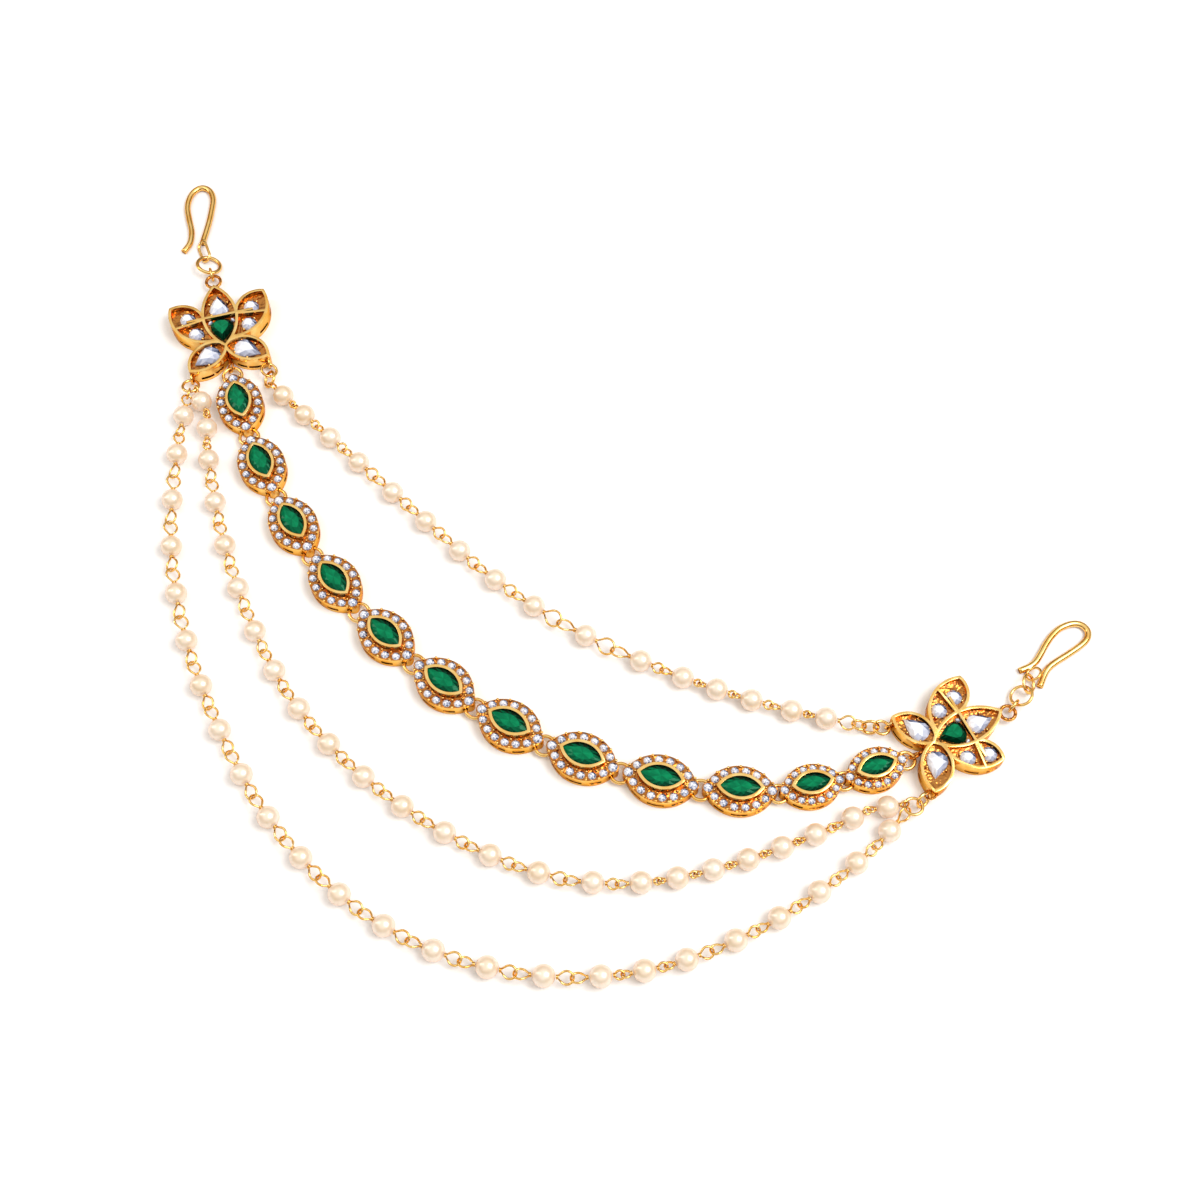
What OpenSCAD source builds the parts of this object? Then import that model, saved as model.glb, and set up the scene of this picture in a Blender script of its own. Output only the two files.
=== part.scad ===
// Hair chain laid flat: a hook and a petalled flower at each end, a chain of twelve
// haloed marquise settings between them, and three strands of pearls on linked wire eyes.
// Millimetres, +Z up. The chain lies on z = 0 and the origin is the middle of its floor box.

/* [Pearl strands] */
// Diameter of a pearl
pearl_d = 5; // [4.8:0.1:5.1]
// Diameter of the hole drilled through a pearl
pearl_hole_d = 0.8; // [0.7:0.05:1]
// Diameter of the wire that carries a pearl
wire_d = 0.5; // [0.4:0.05:0.5]
// Free play between two linked wires
play = 0.15; // [0.1:0.01:0.2]
// Lean of each wire eye about the line of its strand
eye_lean = 45; // [40:1:50]

/* [Settings] */
// Length of a full size setting over its two tip stones
setting_l = 17.2; // [16.8:0.1:17.4]
// Width of a full size setting
setting_w = 11.3; // [10.8:0.1:11.5]
// Height of the plate that carries the halo of stones
plate_top = 3.4; // [3.3:0.05:3.6]
// Height of the plain bezel round the green stone
bezel_top = 5.3; // [5.1:0.05:5.5]
// Length of the green marquise stone
marquise_l = 9; // [8.6:0.1:9.2]
// Width of the green marquise stone
marquise_w = 4.8; // [4.6:0.1:5]
// Diameter of the small halo stones
halo_d = 1.8; // [1.7:0.05:1.9]
// Diameter of the stone at each tip of the halo
halo_tip_d = 2.15; // [2:0.05:2.2]
// Halo stones along one side, without the tips
halo_side_count = 6; // [4:1:6]

/* [Flowers] */
// Length of the middle petal, which a crossbar splits in two
petal_l = 18.5; // [18:0.1:19]
// Width of the middle petal
petal_w = 8.4; // [8.1:0.1:8.8]
// Height of the petal walls
wall_top = 4.5; // [4.2:0.1:5]
// Thickness of the petal walls
wall_t = 0.7; // [0.6:0.05:0.8]
// Height of the floor that the stones stand on
floor_top = 3; // [2.8:0.05:3.2]
// Thickness of that floor
floor_t = 0.8; // [0.6:0.05:1]
// Width of the crossbars
bar_t = 0.6; // [0.5:0.05:0.7]

/* [Rings and hooks] */
// Wire of the jump rings
ring_wire_d = 0.8; // [0.7:0.02:0.8]
// Outer diameter of the rings that join the settings
link_ring_od = 5.4; // [5.3:0.05:5.5]
// Height of those rings above the surface, to the middle of the wire
link_ring_z = 1.4; // [1.35:0.01:1.45]
// Wire of the hooks
hook_wire_d = 1.5; // [1.3:0.1:1.6]

/* [Hidden] */

gold = "goldenrod";
pearl_colour = "antiquewhite";
green = "seagreen";
clear = "lightsteelblue";
cut = 0.1;
round_fn = 48;
wire_fn = 24;

// Strand routes, from the left flower to the right one, laid as in use on a table.
top_route = [
    [-86.25, 43.15], [-77.2, 34.0], [-62.8, 20.3], [-45.8, 4.0], [-28.7, -11.8],
    [-8, -26], [14.8, -36.6], [35, -43.6], [52.6, -47.8]
];
inner_route = [
    [-104.75, 41.9], [-101.5, 36.7], [-99.9, 23.2], [-94, -0.3], [-84.7, -23.8],
    [-73, -43.8], [-56.9, -60.6], [-38.1, -73.7], [-17.4, -82.8], [1, -85], [21.2, -81.5],
    [44, -73.3], [56, -67.6], [63.1, -66.8]
];
outer_route = [
    [-106.4, 39.3], [-107.4, 22.5], [-106, -3.2], [-99.8, -27.3], [-90, -49.2],
    [-78.1, -69.1], [-60.9, -87.2], [-40.2, -99.6], [-16.9, -105.1], [4.5, -104],
    [23.8, -97.7], [42.2, -87.2], [58.8, -73.7], [63.3, -68.2]
];
// Distances from pearl to pearl, as rows of [how many in a row, distance].
top_pitches = [[1, 8], [1, 9.4], [1, 10.2], [1, 12], [4, 11.5], [2, 14.2], [1, 10.4], [2, 8.2], [1, 9.3], [1, 7.9]];
inner_pitches = [[1, 8.4], [1, 9.2], [4, 12.3], [8, 11.5], [1, 12.2], [1, 10.6], [5, 8.1], [1, 9.3], [1, 8.5]];
outer_pitches = [[1, 11], [4, 12.7], [11, 12.1], [2, 9.3], [1, 11.3], [4, 10.6]];
// Distances from the strand's ends to its first and last pearl.
top_ends = [4.9, 6.3];
inner_ends = [4.6, 4.5];
outer_ends = [5.5, 6.6];
// Lean of each strand's first and last wire eye, where it hangs on a ring.
top_end_leans = [60, 45];
inner_end_leans = [97, 75];
outer_end_leans = [45, 75];

// Route of the ring centres between the settings, and the settings along it as rows
// of [how many in a row, ring to ring distance, size].
setting_route = [
    [-96.1, 46.1], [-90.4, 28.3], [-77.7, 3.0], [-60.4, -19.6], [-39.9, -38.5], [-16.7, -52.7],
    [9.1, -61.6], [34.7, -64.1], [56.2, -59.2], [63.8, -56.2]
];
setting_rows = [[5, 18.8, 1], [4, 18.15, 1], [1, 17.3, 0.97], [2, 14.95, 0.86]];

// Flowers as [x, y, direction of the middle petal, size], and their petals' sizes on the left
// and right of that direction: side petals, then lower petals.
flower_left_place = [-98, 53.4, 104.7, 1];
flower_right_place = [69.9, -52.8, 25.7, 0.94];
flower_left_petals = [[1, 1], [1, 1]];
flower_right_petals = [[1, 0.9], [1, 1.1]];

// Arcs of the petals, each through three points of the wall's middle line.
side_far_arc = [[14.2, 11.8], [6.0, 10.6], [2.1, 3.0]];
side_near_arc = [[14.2, 11.8], [13.9, 7.4], [9.5, 4.2]];
lower_far_arc = [[-5.5, 9.75], [-0.4, 8.2], [1.6, 4.4]];
lower_near_arc = [[-5.5, 9.75], [-5.6, 4.8], [-3.4, 1.5]];

// Soldered eyes as [x, y, z, direction, lean, outer diameter, wire, stem]: the place where the
// first ring hangs, which way the eye points, its lean from flat, and a stem behind it.
left_eyes = [
    [-104, 75.8, 1.9, 107, 0, 4.4, 0.8, 1.5],
    [-105.9, 44.1, 1.9, -85, 90, 3.2, 0.6, 0],
    [-87.1, 48.9, 1.9, -87, 90, 3.2, 0.6, 0],
    [-96.55, 47.85, 1.4, -75, 58, 3, 0.6, 2.2]
];
right_eyes = [
    [88.5, -44, 1.9, 47, 0, 4.2, 0.8, 0],
    [60.15, -48.3, 1.9, -155, 90, 3.2, 0.6, 0],
    [67.9, -65, 1.9, -135, 30, 3.4, 0.6, 0],
    [65.1, -55.45, 1.4, -151, 58, 3, 0.6, 1.6]
];
right_hook_eye = [93.9, -36.4, 1.7, -119, 40, 4.1, 0.6, 0];

// Jump rings from an eye outwards, as rows of [x, y, z, lean, wire]: where the ring hangs on
// what is before it, how far it leans about its own line, and its wire. The last row is
// where the next thing hangs.
left_outer_chain = [[-105.9, 44.1, 1.9, 0, 0.7], [-106.2, 41.1, 2.6, 68, 0.5], [-106.4, 39.2, 2.5]];
left_top_chain = [[-87.1, 48.9, 1.9, -22, 0.7], [-87, 46.0, 2.1, 48, 0.7], [-86.2, 43.1, 2.5]];
right_top_chain = [
    [60.15, -48.3, 1.9, 10, 0.7], [57.6, -48.7, 2.1, -65, 0.7], [54.9, -48.3, 2.4, 30, 0.6], [52.6, -47.8, 2.5]
];
right_lower_chain = [[67.9, -65, 1.9, -65, 0.7], [65.8, -66.5, 2.4, 5, 0.7], [63.2, -68.2, 2.5]];
left_hook_chain = [[-104, 75.8, 1.9, 90, 0.7], [-104.6, 77.8, 1.9, 20, 0.9], [-106.2, 82.2, 1.3]];
right_hook_chain = [
    [88.5, -44, 1.9, 90, 0.7], [89.9, -42.4, 1.9, -25, 0.7], [92.3, -39.2, 2.5, 45, 0.7], [93.9, -36.4, 1.7]
];

// Wire of each hook as it lies, from its free tip round the bend.
left_hook_route = [
    [-112.6, 84.9], [-111.2, 87.8], [-111.2, 91.5], [-112.3, 95.6], [-113.1, 99.3], [-112.8, 102.7],
    [-111.6, 105], [-109.8, 105.9], [-107.8, 104.9], [-106.7, 102.4], [-106.6, 99.4], [-107, 94], [-108, 87.4]
];
right_hook_route = [
    [91.7, -34], [94, -33], [95.7, -31.7], [97.2, -29.5], [98.6, -27.2], [100.2, -25.1], [102.3, -23.2],
    [105, -22.1], [107.2, -22.3], [108.5, -23.7], [108.4, -25.5], [106.9, -27.3], [104, -29.4], [100, -32],
    [98.2, -33.6], [97.1, -35.4], [95.9, -38]
];
// Long loop soldered to the left hook, as [x, y, z, direction, lean, length, width, wire].
left_hook_loop = [-107.11, 84.57, 1.35, -68, 40, 6.7, 3.4, 0.7];

// From the places above to the middle of the floor box.
to_middle = [2.3, 0.4, 0];

pearl_r = pearl_d / 2;
wire_r = wire_d / 2;
link_r = wire_r + play / 2;
short_half = 3.95;
short_neck = 0.35;
neck_growth = 0.3;

// Running totals of a list, starting at 0.
function running(v) = [
    for (i = 0, total = 0; i <= len(v); total = total + (i < len(v) ? v[i] : 0), i = i + 1) total
];
function last(v) = v[len(v) - 1];
function expand(rows, column) = [for (row = rows) for (i = [1:row[0]]) row[column]];

// Smooth curve through a list of points, as a fine list of points.
function kept(points, i) = points[min(max(i, 0), len(points) - 1)];
function span_point(a, b, c, d, t) =
    0.5 * (2 * b + (c - a) * t + (2 * a - 5 * b + 4 * c - d) * t * t + (3 * b - a - 3 * c + d) * t * t * t);
function smooth(points, steps) = concat(
    [
        for (i = [0:len(points) - 2]) for (k = [0:steps - 1])
            span_point(kept(points, i - 1), points[i], points[i + 1], kept(points, i + 2), k / steps)
    ],
    [last(points)]
);
function travelled(points) = running([for (i = [1:len(points) - 1]) norm(points[i] - points[i - 1])]);
function at_distance(points, distances, s) = [
    for (axis = [0, 1]) lookup(s, [for (i = [0:len(points) - 1]) [distances[i], points[i][axis]]])
];
function stations_on(route, stations) =
    let(
        points = smooth(route, 16),
        distances = travelled(points),
        stretch = last(distances) / last(stations)
    )
    [for (s = stations) at_distance(points, distances, s * stretch)];

// Places along a strand: the joints between wires, and how far along each wire its pearl is.
function pearl_stations(rows, ends) = [for (s = running(expand(rows, 1))) s + ends[0]];
function joint_stations(pearls, ends) = concat(
    [0],
    [for (i = [1:len(pearls) - 1]) (pearls[i - 1] + pearls[i]) / 2],
    [last(pearls) + ends[1]]
);
function strand_links(route, rows, ends) =
    let(
        pearls = pearl_stations(rows, ends),
        joints = joint_stations(pearls, ends),
        places = stations_on(route, joints)
    )
    [
        for (i = [0:len(pearls) - 1])
            let(share = (pearls[i] - joints[i]) / (joints[i + 1] - joints[i]))
            [places[i], places[i + 1], share]
    ];

// Every piece is coloured and set down in its place on the floor box here.
module tinted(tint) {
    color(tint) translate(to_middle) children();
}

// Size of a wire eye whose joint is a given distance from the middle of its pearl.
function neck(half) = short_neck + neck_growth * (half - short_half);
function eye_r(half) = (half + link_r - pearl_r - neck(half)) / 2;

// Middle and radius of the circle through three points.
function circle_through(p) =
    let(
        a = p[0], b = p[1], c = p[2],
        d = 2 * (a.x * (b.y - c.y) + b.x * (c.y - a.y) + c.x * (a.y - b.y)),
        x = (a * a * (b.y - c.y) + b * b * (c.y - a.y) + c * c * (a.y - b.y)) / d,
        y = (a * a * (c.x - b.x) + b * b * (a.x - c.x) + c * c * (b.x - a.x)) / d
    )
    [x, y, norm(a - [x, y])];
// Radius of the two arcs that bound a pointed oval.
function oval_radius(l, w) = (l * l + w * w) / (4 * w);

module torus(mean_r, tube_r) {
    rotate_extrude($fn = round_fn) translate([mean_r, 0]) circle(r = tube_r, $fn = wire_fn);
}

module disc(c, grow) {
    translate([c[0], c[1]]) circle(r = c[2] + grow, $fn = round_fn);
}

// Pointed oval about the origin, its long axis along X.
module oval(l, w) {
    r = oval_radius(l, w);
    intersection() {
        translate([0, w / 2 - r]) circle(r = r, $fn = round_fn);
        translate([0, r - w / 2]) circle(r = r, $fn = round_fn);
    }
}

// Ring that hangs at place a, is hung on at place b, and clears both by half the play.
module hung_ring(a, b) {
    at = [a.x, a.y, a.z];
    step = [b.x, b.y, b.z] - at;
    middle = at + step / 2;
    tube_r = a[4] / 2;
    translate(middle) rotate([0, -asin(step.z / norm(step)), atan2(step.y, step.x)]) rotate([a[3], 0, 0])
        torus(norm(step) / 2 + tube_r + play / 2, tube_r);
}

module ring_chain(rows) {
    for (i = [0:len(rows) - 2]) hung_ring(rows[i], rows[i + 1]);
}

module soldered_eye(row) {
    tube_r = row[6] / 2;
    mean_r = row[5] / 2 - tube_r;
    back = mean_r - tube_r - play / 2;
    translate([row[0], row[1], row[2]]) rotate([0, 0, row[3]]) {
        translate([-back, 0, 0]) rotate([row[4], 0, 0]) torus(mean_r, tube_r);
        if (row[7] > 0) translate([-back - mean_r - row[7], 0, 0]) rotate([0, 90, 0])
            cylinder(r = tube_r * 1.2, h = row[7], $fn = wire_fn);
    }
}

// Pearl strands

module at_pearl(link) {
    step = link[1] - link[0];
    middle = link[0] + step * link[2];
    translate([middle.x, middle.y, pearl_r]) rotate([0, 0, atan2(step.y, step.x)]) children();
}

// Drilled pearl: half a disc, less the hole, turned about the line of the strand.
module pearl() {
    rotate([0, 90, 0]) rotate_extrude($fn = round_fn) intersection() {
        circle(d = pearl_d, $fn = round_fn);
        translate([pearl_hole_d / 2, -pearl_d]) square([pearl_d, 2 * pearl_d]);
    }
}

module eye(half, lean) {
    translate([pearl_r + neck(half) + eye_r(half), 0, 0]) rotate([lean, 0, 0]) torus(eye_r(half), wire_r);
}

module pearl_wire(link, back_lean, front_lean) {
    span = norm(link[1] - link[0]);
    back = span * link[2];
    front = span - back;
    shank_r = wire_r * 0.88;
    translate([-pearl_r - neck(back), 0, 0]) rotate([0, 90, 0])
        cylinder(r = shank_r, h = pearl_d + neck(back) + neck(front), $fn = wire_fn);
    eye(front, front_lean);
    rotate([0, 0, 180]) eye(back, back_lean);
}

module pearls(links) {
    tinted(pearl_colour) for (link = links) at_pearl(link) pearl();
}

module wires(links, end_leans) {
    n = len(links);
    tinted(gold) for (i = [0:n - 1]) at_pearl(links[i])
        pearl_wire(links[i], i == 0 ? end_leans[0] : eye_lean, i == n - 1 ? end_leans[1] : eye_lean);
}

top_links = strand_links(top_route, top_pitches, top_ends);
inner_links = strand_links(inner_route, inner_pitches, inner_ends);
outer_links = strand_links(outer_route, outer_pitches, outer_ends);

module pearls_top() { pearls(top_links); }
module pearls_inner() { pearls(inner_links); }
module pearls_outer() { pearls(outer_links); }
module wires_top() { wires(top_links, top_end_leans); }
module wires_inner() { wires(inner_links, inner_end_leans); }
module wires_outer() { wires(outer_links, outer_end_leans); }

// Haloed settings

setting_lengths = expand(setting_rows, 1);
setting_sizes = expand(setting_rows, 2);
ring_places = stations_on(setting_route, running(setting_lengths));
rail_z = 0.8;
window_top = 2;
back_z = 2.4;
seat_z = plate_top - 0.6;
ledge_z = 3.9;
wall_in = 0.6;
slot_z = 0.9;
slot_h = 0.9;
halo_arc_w = setting_w - halo_d - 0.7;
halo_arc_l = setting_l - halo_tip_d - 0.5;
small_ring_od = 4.8;
first_small_ring = 10;
function link_ring_r(i) = ((i < first_small_ring ? link_ring_od : small_ring_od) - ring_wire_d) / 2;

module at_setting(i) {
    a = ring_places[i];
    b = ring_places[i + 1];
    middle = (a + b) / 2;
    translate([middle.x, middle.y, 0]) rotate([0, 0, atan2(b.y - a.y, b.x - a.x)]) children();
}

// Middles of the side halo stones on one arc of a setting, for a given size.
function halo_places(size) =
    let(
        r = oval_radius(halo_arc_l, halo_arc_w) * size,
        reach = asin(halo_arc_l * size / 2 / r),
        step = 2 * reach / (halo_side_count + 1)
    )
    [for (k = [1:halo_side_count]) let(a = k * step - reach) [r * sin(a), r * cos(a) - r + halo_arc_w * size / 2]];

module setting_outline(size, inset) {
    oval((setting_l - 0.7) * size - 2 * inset, setting_w * size - 2 * inset);
    for (side = [-1, 1]) translate([side * halo_arc_l * size / 2, 0])
        circle(r = (setting_l - halo_arc_l) * size / 2 - inset, $fn = round_fn);
}

module setting_seats(size) {
    for (side = [-1, 1]) {
        for (p = halo_places(size)) translate([p.x, side * p.y, seat_z])
            cylinder(d = halo_d * size - 0.1, h = bezel_top, $fn = wire_fn);
        translate([side * halo_arc_l * size / 2, 0, seat_z])
            cylinder(d = halo_tip_d * size - 0.1, h = bezel_top, $fn = wire_fn);
    }
}

module ring_room(i) {
    groove_w = ring_wire_d + 2 * play;
    for (side = [0, 1]) {
        groove_r = link_ring_r(i + side);
        translate([(side - 0.5) * setting_lengths[i], 0, rail_z]) difference() {
            cylinder(r = groove_r + groove_w / 2, h = window_top - rail_z, $fn = round_fn);
            translate([0, 0, -cut]) cylinder(r = groove_r - groove_w / 2, h = window_top, $fn = round_fn);
        }
    }
}

// Thin slots through both side walls, as rows of [place along the setting, length].
setting_slot_rows = [[-4.7, 2.3], [0, 3.8], [4.7, 2.3]];

module setting_slots(size) {
    for (row = setting_slot_rows) translate([row[0] * size, 0, slot_z + slot_h / 2])
        cube([row[1] * size, setting_w * 1.2, slot_h], center = true);
}

module setting(i) {
    size = setting_sizes[i];
    tinted(gold) at_setting(i) difference() {
        union() {
            linear_extrude(plate_top) setting_outline(size, 0);
            linear_extrude(bezel_top) oval(marquise_l * size + 1.9, marquise_w * size + 1.5);
        }
        translate([0, 0, -cut]) linear_extrude(back_z + cut) setting_outline(size, wall_in);
        translate([0, 0, ledge_z]) linear_extrude(bezel_top) oval(marquise_l * size + 0.25, marquise_w * size + 0.2);
        linear_extrude(bezel_top) oval((marquise_l - 1.8) * size, (marquise_w - 1.4) * size);
        setting_seats(size);
        ring_room(i);
        setting_slots(size);
    }
}

module link_rings() {
    tinted(gold) for (i = [0:len(ring_places) - 1]) translate([ring_places[i].x, ring_places[i].y, link_ring_z])
        torus(link_ring_r(i), ring_wire_d / 2);
}

// Cut stones

stone_steps = 16;
function oval_points(l, w) =
    let(r = oval_radius(l, w), reach = asin(l / 2 / r), half = stone_steps / 2)
    [
        for (k = [0:stone_steps - 1])
            let(side = k < half ? 1 : -1, a = side * (2 * reach * (k % half) / half - reach))
            [-r * sin(a), side * (r * cos(a) - r + w / 2)]
    ];
function drop_points(l, w) = [
    for (k = [0:stone_steps - 1])
        let(a = 360 * k / stone_steps)
        [l / 2 * cos(a), w / 2 * 1.3 * sin(a) * pow(abs(sin(a / 2)), 1.3)]
];
function round_points(d) = [for (k = [0:stone_steps - 1]) d / 2 * [cos(360 * k / stone_steps), sin(360 * k / stone_steps)]];

// Faceted stone: a pavilion point, a girdle band, a ring of crown facets and a flat table.
module cut_stone(points, girdle_z, girdle_h, crown_h, table, pavilion_h) {
    n = len(points);
    m = n / 2;
    ring = [for (p = points) [p.x, p.y, girdle_z]];
    girdle = [for (p = points) [p.x, p.y, girdle_z + girdle_h]];
    top = [for (k = [0:m - 1]) [points[2 * k].x * table, points[2 * k].y * table, girdle_z + girdle_h + crown_h]];
    flat_back = pavilion_h == 0;
    solid = concat(ring, girdle, top, flat_back ? [] : [[0, 0, girdle_z - pavilion_h]]);
    sides = [for (k = [0:n - 1]) [k, n + k, n + (k + 1) % n, (k + 1) % n]];
    crown = [
        for (k = [0:m - 1])
            let(a = n + 2 * k, b = n + 2 * k + 1, c = n + (2 * k + 2) % n, t = 2 * n + k, u = 2 * n + (k + 1) % m)
            each [[t, b, a], [t, u, b], [u, c, b]]
    ];
    back = flat_back
        ? [[for (k = [0:n - 1]) k]]
        : [for (k = [0:n - 1]) [k, (k + 1) % n, 2 * n + m]];
    table_face = [[for (k = [m - 1:-1:0]) 2 * n + k]];
    polyhedron(points = solid, faces = concat(sides, crown, back, table_face));
}

module marquise(i) {
    size = setting_sizes[i];
    tinted(green) at_setting(i)
        cut_stone(oval_points(marquise_l * size, marquise_w * size), 4.6, 0.35, 0.55, 0.6, 1.3);
}

// Flowers

module at_flower(place) {
    translate([place[0], place[1], 0]) rotate([0, 0, place[2]]) scale(place[3]) children();
}

module middle_petal(grow) {
    r = oval_radius(petal_l, petal_w) + grow;
    intersection() {
        translate([petal_l / 2, petal_w / 2 - r + grow]) circle(r = r, $fn = round_fn);
        translate([petal_l / 2, r - grow - petal_w / 2]) circle(r = r, $fn = round_fn);
    }
}

module side_petal(grow, size) {
    far = circle_through(side_far_arc * size);
    near = circle_through(side_near_arc * size);
    intersection() {
        disc(far, grow);
        union() {
            disc(near, grow);
            square([near[0], near[1]]);
        }
    }
}

module lower_petal(grow, size) {
    intersection() {
        disc(circle_through(lower_far_arc * size), grow);
        disc(circle_through(lower_near_arc * size), grow);
    }
}

module flower_outline(petals) {
    middle_petal(wall_t / 2);
    for (side = [0, 1]) mirror([0, side]) {
        side_petal(wall_t / 2, petals[0][side]);
        lower_petal(wall_t / 2, petals[1][side]);
    }
}

module side_bar() {
    translate([8.9, 4]) rotate([0, 0, 98]) translate([-1, -bar_t / 2]) square([9, bar_t]);
}

module middle_bar() {
    translate([petal_l / 2 - bar_t / 2, -petal_w]) square([bar_t, 2 * petal_w]);
}

// Room inside the walls, one region for each petal.
module flower_rooms(petals) {
    middle_petal(-wall_t / 2);
    for (side = [0, 1]) mirror([0, side]) difference() {
        union() {
            side_petal(-wall_t / 2, petals[0][side]);
            lower_petal(-wall_t / 2, petals[1][side]);
        }
        middle_petal(wall_t / 2);
        intersection() {
            side_petal(wall_t / 2, petals[0][side]);
            lower_petal(wall_t / 2, petals[1][side]);
        }
    }
}

module flower_bars() {
    middle_bar();
    for (side = [0, 1]) mirror([0, side]) difference() {
        side_bar();
        middle_petal(0);
    }
}

// Thin slots through the outer walls, as rows of [x, y, direction, length].
flower_slots = [
    [14.6, 8.2, 90, 3], [11.8, 5.0, 40, 2.4], [10.3, 11.9, 10, 4], [5.0, 9.9, 35, 3.4],
    [-2.9, 9.3, -25, 3.4], [-6.2, 6, 85, 3.2], [-4.9, 2.9, 128, 2.6], [13.6, 3.4, -22, 3.6]
];
slot_low = 0.9;
slot_high = 1.7;

module flower_slot(row) {
    translate([row[0], row[1], slot_low]) rotate([0, 0, row[2]]) translate([-row[3] / 2, -wall_t, 0])
        cube([row[3], 2 * wall_t, slot_high - slot_low]);
}

module flower(place, petals, eyes) {
    tinted(gold) {
        at_flower(place) difference() {
            linear_extrude(wall_top) flower_outline(petals);
            translate([0, 0, floor_top]) linear_extrude(wall_top) difference() {
                flower_rooms(petals);
                flower_bars();
            }
            translate([0, 0, -cut]) linear_extrude(floor_top - floor_t + cut) flower_rooms(petals);
            for (side = [0, 1]) mirror([0, side, 0]) for (row = flower_slots) flower_slot(row);
        }
        for (row = eyes) soldered_eye(row);
    }
}

// Stones of a flower: the green drop, then clear drops and round stones as [x, y, direction].
stone_gap = 0.08;
stone_base = floor_top + stone_gap;
green_drop_at = [5.3, 0, 180];
clear_drops_at = [[12.9, 0, 0], [-1.9, 5.2, 121], [-1.9, -5.2, -121]];
round_stones_at = [[10.6, 8.1, 0], [5.6, 6.7, 0], [10.6, -8.1, 0], [5.6, -6.7, 0]];
round_stone_d = 3.5;

module at_stone(place, at) {
    at_flower(place) translate([at[0], at[1], 0]) rotate([0, 0, at[2]]) children();
}

module green_drop(place) {
    tinted(green) at_stone(place, green_drop_at)
        cut_stone(drop_points(6.7, 6.1), stone_base, 0.7, 1.1, 0.6, 0);
}

module clear_drop(place, k) {
    tinted(clear) at_stone(place, clear_drops_at[k])
        cut_stone(drop_points(k == 0 ? 5.8 : 6.3, 4.8), stone_base, 0.4, 1, 0.5, 0);
}

module round_stone(place, k) {
    tinted(clear) at_stone(place, round_stones_at[k])
        cut_stone(round_points(round_stone_d), stone_base, 0.4, 0.9, 0.5, 0);
}

module flower_left() { flower(flower_left_place, flower_left_petals, left_eyes); }
module flower_right() { flower(flower_right_place, flower_right_petals, right_eyes); }

// Loose rings and hooks

module rings_hook_left() {
    tinted(gold) ring_chain(left_hook_chain);
}

module rings_hook_right() {
    tinted(gold) ring_chain(right_hook_chain);
}

module strand_rings_left() {
    tinted(gold) {
        ring_chain(left_outer_chain);
        ring_chain(left_top_chain);
    }
}

module strand_rings_right() {
    tinted(gold) {
        ring_chain(right_top_chain);
        ring_chain(right_lower_chain);
    }
}

hook_sides = 12;
hook_steps = 4;

// Round wire swept along a flat line of points at z = 0; its ends are closed, or it is a loop.
module swept_wire(line, r, loop) {
    n = len(line);
    rings = [
        for (i = [0:n - 1])
            let(
                before = loop ? line[(i + n - 1) % n] : kept(line, i - 1),
                after = loop ? line[(i + 1) % n] : kept(line, i + 1),
                across = [before.y - after.y, after.x - before.x] / norm(after - before)
            )
            for (k = [0:hook_sides - 1])
                let(a = 360 * k / hook_sides)
                [line[i].x + across.x * r * cos(a), line[i].y + across.y * r * cos(a), r * sin(a)]
    ];
    walls = [
        for (i = [0:n - (loop ? 1 : 2)]) for (k = [0:hook_sides - 1])
            let(
                a = i * hook_sides + k,
                b = i * hook_sides + (k + 1) % hook_sides,
                c = (i + 1) % n * hook_sides + (k + 1) % hook_sides,
                d = (i + 1) % n * hook_sides + k
            )
            each [[a, c, b], [a, d, c]]
    ];
    ends = loop ? [] : [[for (k = [0:hook_sides - 1]) k], [for (k = [hook_sides - 1:-1:0]) (n - 1) * hook_sides + k]];
    polyhedron(points = rings, faces = concat(walls, ends));
}

function stadium(l, w) = [
    for (k = [0:27])
        let(a = 360 * (k + 0.5) / 28)
        [w / 2 * cos(a) + (cos(a) > 0 ? 1 : -1) * (l - w) / 2, w / 2 * sin(a)]
];

module hook_wire(route) {
    translate([0, 0, hook_wire_d / 2]) swept_wire(smooth(route, hook_steps), hook_wire_d / 2, false);
}

module hook_left() {
    loop = left_hook_loop;
    tinted(gold) {
        hook_wire(left_hook_route);
        translate([loop[0], loop[1], loop[2]]) rotate([0, 0, loop[3]]) rotate([loop[4], 0, 0])
            swept_wire(stadium(loop[5] - loop[7], loop[6] - loop[7]), loop[7] / 2, true);
    }
}

module hook_right() {
    tinted(gold) {
        hook_wire(right_hook_route);
        soldered_eye(right_hook_eye);
    }
}

hook_left();
hook_right();
rings_hook_left();
rings_hook_right();
flower_left();
flower_right();
green_drop(flower_left_place);  // green_drop_left
clear_drop(flower_left_place, 0);  // clear_drop_left_1
clear_drop(flower_left_place, 1);  // clear_drop_left_2
clear_drop(flower_left_place, 2);  // clear_drop_left_3
round_stone(flower_left_place, 0);  // round_stone_left_1
round_stone(flower_left_place, 1);  // round_stone_left_2
round_stone(flower_left_place, 2);  // round_stone_left_3
round_stone(flower_left_place, 3);  // round_stone_left_4
green_drop(flower_right_place);  // green_drop_right
clear_drop(flower_right_place, 0);  // clear_drop_right_1
clear_drop(flower_right_place, 1);  // clear_drop_right_2
clear_drop(flower_right_place, 2);  // clear_drop_right_3
round_stone(flower_right_place, 0);  // round_stone_right_1
round_stone(flower_right_place, 1);  // round_stone_right_2
round_stone(flower_right_place, 2);  // round_stone_right_3
round_stone(flower_right_place, 3);  // round_stone_right_4
setting(0);  // setting_01
setting(1);  // setting_02
setting(2);  // setting_03
setting(3);  // setting_04
setting(4);  // setting_05
setting(5);  // setting_06
setting(6);  // setting_07
setting(7);  // setting_08
setting(8);  // setting_09
setting(9);  // setting_10
setting(10);  // setting_11
setting(11);  // setting_12
marquise(0);  // marquise_01
marquise(1);  // marquise_02
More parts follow.
